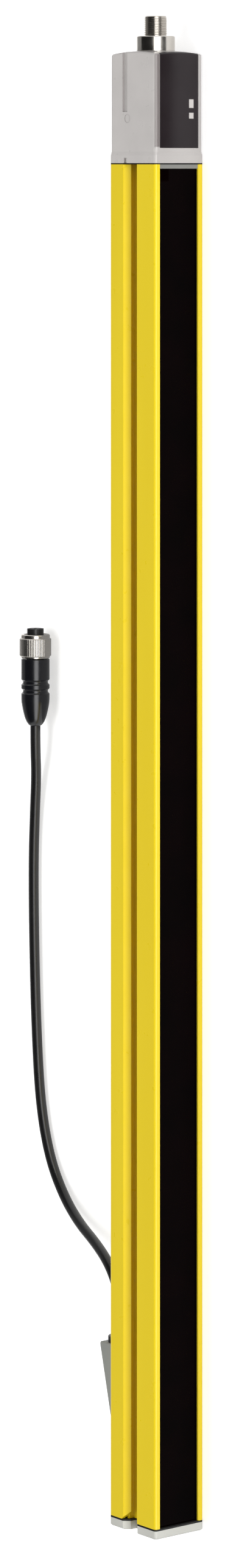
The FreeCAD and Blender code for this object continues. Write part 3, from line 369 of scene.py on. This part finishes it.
metal("nickel", (0.56, 0.53, 0.49), 0.20, 0.00025, 0.000003, 0.0001)
metal("screw_steel", (0.56, 0.56, 0.55), 0.28, 0.00030, 0.000006, 0.0002)
metal("contact_gold", (0.83, 0.58, 0.20), 0.20, 0.00020, 0.000003, 0.0002)
print("all finishes:", len(finishes))

# %% [markdown]
# Each piece of the model already has a slot that names its finish, so a loop can fill them all.

# %% Put each finish on its pieces
for piece in nodes.values():
    for slot in piece.material_slots:
        slot.material = finishes[slot.material.name]
lead.data.materials.append(finishes["cable_black"])
print("finishes on", len(nodes), "pieces and the lead")

# %% [markdown]
# ## Turned pieces
# The plug, the nut, the grip, the gland and the screws are all round about one axis, like work
# from a lathe. One helper turns an outline of (x, radius) points into a closed mesh. A radius may
# also be a rule that depends on the angle, which gives hexagons and flutes from the same helper.
#
# Another helper eases an outline's corners into small arcs first, because a real turned or
# moulded edge has a radius.

# %% Outlines and turned solids
millimetre = 0.001


def eased(outline, ease, steps=3):
    """An outline in millimetres with each corner off the axis turned into a small arc."""
    largest_share = 0.45             # under half of a side, so that two arcs never meet
    shortest = 1e-6
    points = [Vector((x, radius)) for x, radius in outline]
    soft = []
    for i, corner in enumerate(points):
        before, after = points[i - 1], points[(i + 1) % len(points)]
        if corner.y == 0.0:
            soft.append(tuple(corner))
            continue
        back, ahead = before - corner, after - corner
        near = corner + back * min(largest_share, ease / max(back.length, shortest))
        far = corner + ahead * min(largest_share, ease / max(ahead.length, shortest))
        for k in range(steps + 1):
            t = k / steps
            soft.append(tuple(near * (1 - t) ** 2 + corner * (2 * t * (1 - t)) + far * t ** 2))
    return soft


def turn_rings(shell, outline, place, sides, closed=True):
    """Adds rings of vertices for an outline in millimetres and joins them with faces."""
    rings = []
    for x, size in outline:
        ring = []
        for i in range(sides):
            angle = 2 * math.pi * i / sides
            radius = size(angle) if callable(size) else size
            spot = Vector((x, radius * math.cos(angle), radius * math.sin(angle))) * millimetre
            ring.append(shell.verts.new(place @ spot))
        rings.append(ring)
    pairs = list(zip(rings, rings[1:]))
    if closed:
        pairs.append((rings[-1], rings[0]))
    for ring, following in pairs:
        for i in range(sides):
            k = (i + 1) % sides
            shell.faces.new((ring[i], ring[k], following[k], following[i]))


def along_bar(y, z):
    """Places a turned piece's axis along X at y and z, in metres."""
    return Matrix.Translation((0.0, y, z))


print("turning helpers ready")

# %% Finish a piece
weld_distance = 2e-7
sharp_from = math.radians(40)


def add_piece(name, shell, body_name, replaced, slot_name):
    """Closes a mesh, shades it smooth and lets it stand for engineering pieces."""
    bmesh.ops.remove_doubles(shell, verts=shell.verts, dist=weld_distance)
    bmesh.ops.recalc_face_normals(shell, faces=shell.faces)
    open_edges = sum(1 for edge in shell.edges if len(edge.link_faces) < 2)
    mesh = bpy.data.meshes.new(name)
    shell.to_mesh(mesh)
    shell.free()
    mesh.polygons.foreach_set("use_smooth", [True] * len(mesh.polygons))
    mesh.set_sharp_from_angle(angle=sharp_from)
    piece = bpy.data.objects.new(name, mesh)
    bpy.context.scene.collection.objects.link(piece)
    even = piece.modifiers.new("even_normals", "WEIGHTED_NORMAL")
    even.keep_sharp = True
    piece.data.materials.append(finishes[slot_name])
    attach(piece, body_name)
    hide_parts(replaced)
    print(name, "faces:", len(mesh.polygons), "open edges:", open_edges)


print("a piece is welded within", weld_distance, "m")

# %% [markdown]
# ## The plug on the cap
# A 12 mm round plug has a round flange, a threaded sleeve and a bore with the pins. The flange is
# polished, so it mirrors the studio in long bands, and its rim is turned to a small radius.
#
# The thread is a grid of vertices that is sheared by one pitch in each turn. Every row of the
# grid then follows the helix, so the crest stays a clean line. The thread fades out at both ends,
# where a real one has a runout and a chamfer.

# %% Plug shell
middle_z = 0.01575                   # the middle of the bar's width, in metres
plug_y = -0.0088
plug_place = along_bar(plug_y, middle_z)
plug_sides = 96
cap_top, flange_top, plug_tip = 366.2, 373.8, 384.0
thread_pitch, thread_crest, thread_root = 1.0, 6.0, 5.42
tip_chamfer, bore_chamfer = 0.15, 0.15
bore_floor, bore_radius = 356.6, 4.9
shank_radius, flange_radius = 7.0, 9.8
seal_groove, seal_groove_radius = 1.0, 8.4

shell = bmesh.new()
turn_rings(shell, [
    (plug_tip, thread_root - tip_chamfer), (plug_tip, 5.0), (plug_tip - bore_chamfer, bore_radius),
    (bore_floor, bore_radius), (bore_floor, shank_radius),
    (cap_top, shank_radius), (cap_top + seal_groove, shank_radius),
    (cap_top + seal_groove, seal_groove_radius), (cap_top, seal_groove_radius),
    (cap_top, 9.72), (cap_top + 0.08, flange_radius),
    (flange_top - 0.65, flange_radius), (flange_top - 0.4, 9.72),
    (flange_top - 0.18, 9.5), (flange_top - 0.05, 9.25), (flange_top, 9.0),
    (flange_top, 6.3), (flange_top, thread_root),
], plug_place, plug_sides, closed=False)
print("flange and bore rings added")

# %% Thread
rows_per_turn = 12
runout, end_fade = 0.8, 0.7          # how far the thread takes to rise at the flange and the tip
tip_chamfer_length = 0.3
bottom_flat, flank = 0.15, 0.68      # shares of the thread's rise


def thread_height(share):
    """Height of the thread over its root, 0..1, at a share of its pitch."""
    rise = 1 - abs(2 * share - 1)
    return min(1.0, max(0.0, (rise - bottom_flat) / flank))


def thread_mesh(shell, x0, x1, place, sides):
    """The helical surface between two plain rings at x0 and x1, in millimetres."""
    turns = int((x1 - x0) / thread_pitch) + 2
    rows = turns * rows_per_turn
    grid = []
    for i in range(rows + 1):
        row = []
        for j in range(sides):
            x = x0 + (i / rows_per_turn + j / sides - 1) * thread_pitch
            x = min(max(x, x0), x1)
            fade = min(1.0, (x - x0) / runout, (x1 - x) / end_fade)
            height = thread_height(i / rows_per_turn % 1.0) * (thread_crest - thread_root)
            chamfer = tip_chamfer * max(0.0, 1 - (x1 - x) / tip_chamfer_length)
            radius = thread_root + height * fade - chamfer
            angle = 2 * math.pi * j / sides
            spot = Vector((x, radius * math.cos(angle), radius * math.sin(angle))) * millimetre
            row.append(shell.verts.new(place @ spot))
        grid.append(row)
    for i in range(rows):
        for j in range(sides - 1):
            shell.faces.new((grid[i][j], grid[i][j + 1], grid[i + 1][j + 1], grid[i + 1][j]))
        if i + rows_per_turn + 1 <= rows:
            j = sides - 1
            shell.faces.new((
                grid[i][j], grid[i + rows_per_turn][0], grid[i + rows_per_turn + 1][0], grid[i + 1][j],
            ))
    return turns


turns = thread_mesh(shell, flange_top, plug_tip, plug_place, plug_sides)
add_piece("plug_with_thread", shell, "housing", "plug_shell", "nickel")
print("thread turns:", turns)

# %% [markdown]
# ## The knurled nut
# The socket's nut turns freely on the grip, so it rides on a body of its own. Its band has fine
# straight flutes, cut narrow so that most of the band is still a bright cylinder, and the
# shoulders on both sides are plain. Inside is a collar, then the threaded mouth.

# %% Coupling nut
lead_y, lead_z = 0.10125, 0.00855
lead_place = along_bar(lead_y, lead_z)
nut_start, nut_end = 48.7, 61.1
nut_flutes = 52
flute_half_width = 0.25              # as a share of the flutes' pitch
points_per_flute = 8


def fluted(radius, depth):
    """A circle with narrow rounded flutes."""
    def size(angle):
        share = angle * nut_flutes / (2 * math.pi) % 1.0
        dip = max(0.0, 1 - abs(share - 0.5) / flute_half_width)
        return radius - depth * dip * dip * (3 - 2 * dip)
    return size


band = fluted(8.35, 0.14)
band_edge = fluted(8.05, 0.08)
shell = bmesh.new()
turn_rings(shell, [
    (nut_start, 4.6), (nut_start, 7.25), (nut_start + 0.12, 7.55), (nut_start + 0.4, 7.65),
    (nut_start + 0.85, 7.67), (nut_start + 1.05, band_edge), (nut_start + 1.4, band),
    (nut_end - 2.5, band), (nut_end - 2.15, band_edge),
    (nut_end - 1.9, 7.67), (nut_end - 0.6, 7.65), (nut_end - 0.2, 7.5), (nut_end, 7.15),
    (nut_end, 6.2), (nut_end - 0.5, 5.55), (nut_start + 2.6, 5.5), (nut_start + 2.6, 4.6),
    (nut_start + 2.45, 4.48), (nut_start + 0.15, 4.48),
], lead_place, nut_flutes * points_per_flute)
add_piece("knurled_nut", shell, "nut", "coupling_nut", "nickel")

# %% [markdown]
# ## The grip, the gland and the socket's end
# The grip is moulded over the cable: a barrel with two shallow waists for the fingers, and a tail
# that swells out of the cable like a bullet. The gland on the cable outlet is a smaller cone with
# a round foot. The gland's outline is eased, and both turn on the same lathe.

# %% Grip
grip_start, grip_end = 13.1, 48.3
barrel = 7.5
waists = (31.3, 36.0)
waist_half, waist_depth, waist_steps = 1.4, 0.9, 8
cable_hole = 2.4
grip_outline = [
    (grip_start, cable_hole), (grip_start, 3.0), (13.35, 3.35), (13.8, 3.8), (14.4, 4.25),
    (15.1, 4.7), (16.0, 5.12),
    (17.2, 5.6), (18.6, 6.02), (20.2, 6.42), (22.0, 6.82), (24.0, 7.18), (25.6, 7.4), (27.2, barrel),
]
for waist in waists:
    for i in range(waist_steps + 1):
        share = i / waist_steps
        dip = waist_depth * math.sin(math.pi * share) ** 0.8
        grip_outline.append((waist - waist_half + 2 * waist_half * share, barrel - dip))
grip_outline += [
    (grip_end - 0.6, barrel), (grip_end - 0.3, barrel - 0.06), (grip_end - 0.08, barrel - 0.25),
    (grip_end, barrel - 0.55), (grip_end, cable_hole),
]
shell = bmesh.new()
turn_rings(shell, grip_outline, lead_place, 96)
add_piece("moulded_grip", shell, "housing", "cord_grip", "grip_black")

# %% Gland
gland_y = 0.01995
corner_ease = 0.35
gland_place = along_bar(gland_y, middle_z)
shell = bmesh.new()
turn_rings(shell, eased([
    (-297.0, 2.7), (-297.0, 4.6), (-295.2, 4.6), (-295.2, 6.4), (-292.0, 6.4), (-292.0, 4.8),
    (-290.9, 4.45), (-290.9, 4.2), (-290.4, 4.2), (-290.4, 4.3), (-289.5, 4.0), (-289.5, 3.75),
    (-289.0, 3.75), (-289.0, 3.85), (-288.2, 3.5), (-288.2, 2.7),
], corner_ease), gland_place, 72)
add_piece("ribbed_gland", shell, "housing", "cable_gland", "gland_black")

# %% [markdown]

# %% [markdown]
# ## Screws
# Socket-head screws hold the cap, the end plate and the cable outlet. The head is turned, and its
# drive is a hexagon on the same rings: the vertices of the inner rings stand on a hexagon instead
# of a circle.

# %% Socket screws
screw_sides = 48
shank, head, drive_across_flats, deepest_drive = 1.2, 2.75, 2.5, 1.4


def hexagon_size(across_flats):
    """The radius of a hexagon at each angle."""
    return lambda angle: across_flats / 2 / math.cos(angle % (math.pi / 3) - math.pi / 6)


def add_screw(shell, seat, top, tip, place):
    """One socket-head screw: seat, top and tip along its axis, in millimetres."""
    way = 1 if top > tip else -1
    drive = hexagon_size(drive_across_flats)
    drive_floor = top - min(deepest_drive, 0.5 * abs(top - seat)) * way
    turn_rings(shell, [
        (tip, 0.0), (tip, 0.9), (tip + 0.4 * way, shank), (seat, shank),
        (seat, 2.6), (seat + 0.12 * way, head), (top - 0.45 * way, head),
        (top - 0.15 * way, 2.66), (top, 2.4), (top, 1.7), (top - 0.15 * way, drive),
        (drive_floor, drive), (drive_floor, 0.0),
    ], place, screw_sides, closed=False)


port_places = [(y, z) for y in (-0.01985, 0.00465) for z in (0.0046, 0.0269)]
shell = bmesh.new()
for y, z in port_places:
    add_screw(shell, 361.2, 364.0, 299.6, along_bar(y, z))
add_piece("cap_socket_screws", shell, "housing", "cap_screws", "screw_steel")
shell = bmesh.new()
for y, z in port_places:
    add_screw(shell, -381.0, -383.8, -369.9, along_bar(y, z))
add_piece("end_socket_screws", shell, "housing", "end_screws", "screw_steel")

shell = bmesh.new()
upright = Matrix.Rotation(math.pi / 2, 4, "Z")
for x, top in ((-0.357, 12.95), (-0.338, 14.35)):
    add_screw(shell, 11.55, top, 7.45, Matrix.Translation((x, 0.0, middle_z)) @ upright)
add_piece("outlet_socket_screws", shell, "housing", "outlet_screws", "screw_steel")

# %% [markdown]
# Inside the plug stand five pins: one in the middle and four on a circle around it.

# %% Contact pins
pin_circle = 0.0028
pin_angles = [math.pi / 4 * k for k in (1, 3, 5, 7)]
pin_places = [(0.0, 0.0)] + [(pin_circle * math.cos(a), pin_circle * math.sin(a)) for a in pin_angles]
shell = bmesh.new()
for y, z in pin_places:
    turn_rings(shell, [
        (360.2, 0.0), (360.2, 0.5), (382.3, 0.5), (382.6, 0.43), (382.8, 0.22), (382.8, 0.0),
    ], along_bar(plug_y + y, middle_z + z), 20, closed=False)
add_piece("contact_pins", shell, "housing", "plug_pins", "contact_gold")

# %% [markdown]
# ## The studio
# The floor is plain white paper. Seen directly it also glows a little, so that it reaches pure
# white without more light on the bar, and it still takes the bar's soft shadow. Farther away the
# glow grows, because less lamp light arrives there.
#
# Light Path tells a direct look from the light that falls on things. Mirrors and clear parts are
# counted as a direct look, so they show the same white studio.

# %% Floor
scene = bpy.context.scene
scene.view_settings.view_transform = "Standard"

floor_reach = 12.0
floor_gap = 0.0002                   # keeps the paper from sharing a plane with the bar's side
floor_mesh = bpy.data.meshes.new("floor")
floor_mesh.from_pydata(
    [(-floor_reach, -floor_reach, 0), (floor_reach, -floor_reach, 0),
     (floor_reach, floor_reach, 0), (-floor_reach, floor_reach, 0)],
    [], [(0, 1, 2, 3)],
)
floor = bpy.data.objects.new("floor", floor_mesh)
floor.location.z = -floor_gap
scene.collection.objects.link(floor)


def seen_directly(tree):
    """1 for rays from the camera, from mirrors and through glass, 0 for the light that falls on things."""
    path = tree.nodes.new("ShaderNodeLightPath")
    either = path.outputs["Is Camera Ray"]
    for name in ("Is Glossy Ray", "Is Transmission Ray"):
        more = tree.nodes.new("ShaderNodeMath")
        more.operation = "MAXIMUM"
        tree.links.new(either, more.inputs[0])
        tree.links.new(path.outputs[name], more.inputs[1])
        either = more.outputs[0]
    return either


print("floor side in metres:", 2 * floor_reach)

# %% Paper
paper, paper_shader = new_finish("studio_paper", (0.80, 0.80, 0.80), 0.9, Specular_IOR_Level=0.0)
where = add_node(paper, "ShaderNodeTexCoord")
distance = add_node(paper, "ShaderNodeVectorMath")
distance.operation = "LENGTH"
join(paper, where.outputs["Object"], distance.inputs[0])
glow_level = add_node(paper, "ShaderNodeMapRange", From_Min=0.5, From_Max=3.0, To_Min=0.56, To_Max=0.85)
join(paper, distance.outputs["Value"], glow_level.inputs["Value"])
lift = add_node(paper, "ShaderNodeMath")
lift.operation = "MULTIPLY"
join(paper, seen_directly(paper.node_tree), lift.inputs[0])
join(paper, glow_level.outputs["Result"], lift.inputs[1])
glow = add_node(paper, "ShaderNodeEmission")
join(paper, lift.outputs[0], glow.inputs["Strength"])
both = add_node(paper, "ShaderNodeAddShader")
join(paper, paper_shader.outputs[0], both.inputs[0])
join(paper, glow.outputs[0], both.inputs[1])
join(paper, both.outputs[0], paper.node_tree.nodes["Material Output"].inputs["Surface"])
floor.data.materials.append(paper)
print("paper ready")

# %% World
world = bpy.data.worlds.new("studio")
scene.world = world
world.use_nodes = True
world_tree = world.node_tree
sky = world_tree.nodes["Background"]
sky.inputs["Color"].default_value = (1.0, 1.0, 1.0, 1.0)
sky_level = world_tree.nodes.new("ShaderNodeMapRange")
sky_level.inputs["To Min"].default_value = 0.35
sky_level.inputs["To Max"].default_value = 1.0
world_tree.links.new(seen_directly(world_tree), sky_level.inputs["Value"])
world_tree.links.new(sky_level.outputs["Result"], sky.inputs["Strength"])
print("world light on things:", round(sky_level.inputs["To Min"].default_value, 2))

# %% [markdown]
# ## Lamps
# A long, low soft box in front gives the window's side its bright light, and because it is low it
# doesn't reach into the side slot, which stays deep. A high box a little behind the bar lights the
# upper side face, and a weak one fills the back.
#
# Bright metal in an all-white room has no shape. A product studio hangs cards just outside the
# view, so that the metal has something to mirror: black ones, called flags, and a white one.
# Here the lamps leave no mirror image, and the cards are switched off for every ray but the
# mirrored ones, so they take no light from the bar. Small grey cards lie and stand beside the
# socket, so that its lower side mirrors neither the bright table nor the yellow bar, and a dark
# card lies in front of the plug. They are placed for the main view, and from elsewhere the metal
# mirrors other bands.

# %% Lamps
def soft_box(name, place, width, height, watts):
    """A large rectangular lamp that faces the bar's middle."""
    lamp = bpy.data.lights.new(name, "AREA")
    lamp.shape = "RECTANGLE"
    lamp.size = width
    lamp.size_y = height
    lamp.energy = watts
    holder = bpy.data.objects.new(name, lamp)
    turn = (-Vector(place)).to_track_quat("-Z", "Y").to_matrix().to_4x4()
    holder.matrix_world = Matrix.Translation(place) @ turn
    holder.visible_camera = False
    holder.visible_glossy = False
    scene.collection.objects.link(holder)


soft_box("front_box", (0.1, -1.50, 0.34), 2.2, 0.45, 22.5)
soft_box("high_box", (0.0, 0.50, 1.90), 2.0, 1.0, 20.5)
soft_box("back_box", (-0.2, 1.90, 0.60), 1.6, 0.6, 10.0)

# %% Cards
def card(name, near_edge, far_edge, level, x0=-1.6, x1=1.6):
    """A card along the bar that only mirrored rays can see. Its edges are given as y and z."""
    (y0, z0), (y1, z1) = near_edge, far_edge
    mesh = bpy.data.meshes.new(name)
    mesh.from_pydata([(x0, y0, z0), (x1, y0, z0), (x1, y1, z1), (x0, y1, z1)], [], [(0, 1, 2, 3)])
    sheet = bpy.data.objects.new(name, mesh)
    scene.collection.objects.link(sheet)
    felt, felt_shader = new_finish(name + "_felt", (0.0, 0.0, 0.0), 1.0, Specular_IOR_Level=0.0)
    felt_shader.inputs["Emission Color"].default_value = (level, level, level, 1.0)
    felt_shader.inputs["Emission Strength"].default_value = 1.0
    sheet.data.materials.append(felt)
    for kind in ("camera", "diffuse", "transmission", "volume_scatter", "shadow"):
        setattr(sheet, "visible_" + kind, False)


beside_socket = (0.010, 0.085)
beside_plug = (0.30, 0.50)
card("white_card", (-1.37, 0.29), (-0.93, 1.00), 3.8)
card("flag_above", (-0.84, 1.00), (0.97, 1.00), 0.02)
card("flag_behind", (0.97, 1.00), (1.20, 0.02), 0.35)
card("grey_card", (0.040, 0.0004), (0.118, 0.0004), 0.40, *beside_socket)
card("fence", (0.040, 0.0004), (0.040, 0.026), 0.30, *beside_socket)
card("flag_low", (-0.052, 0.0004), (-1.36, 0.0004), 0.12, *beside_plug)
card("flag_upright", (-1.36, 0.0004), (-1.36, 0.20), 0.12, *beside_plug)
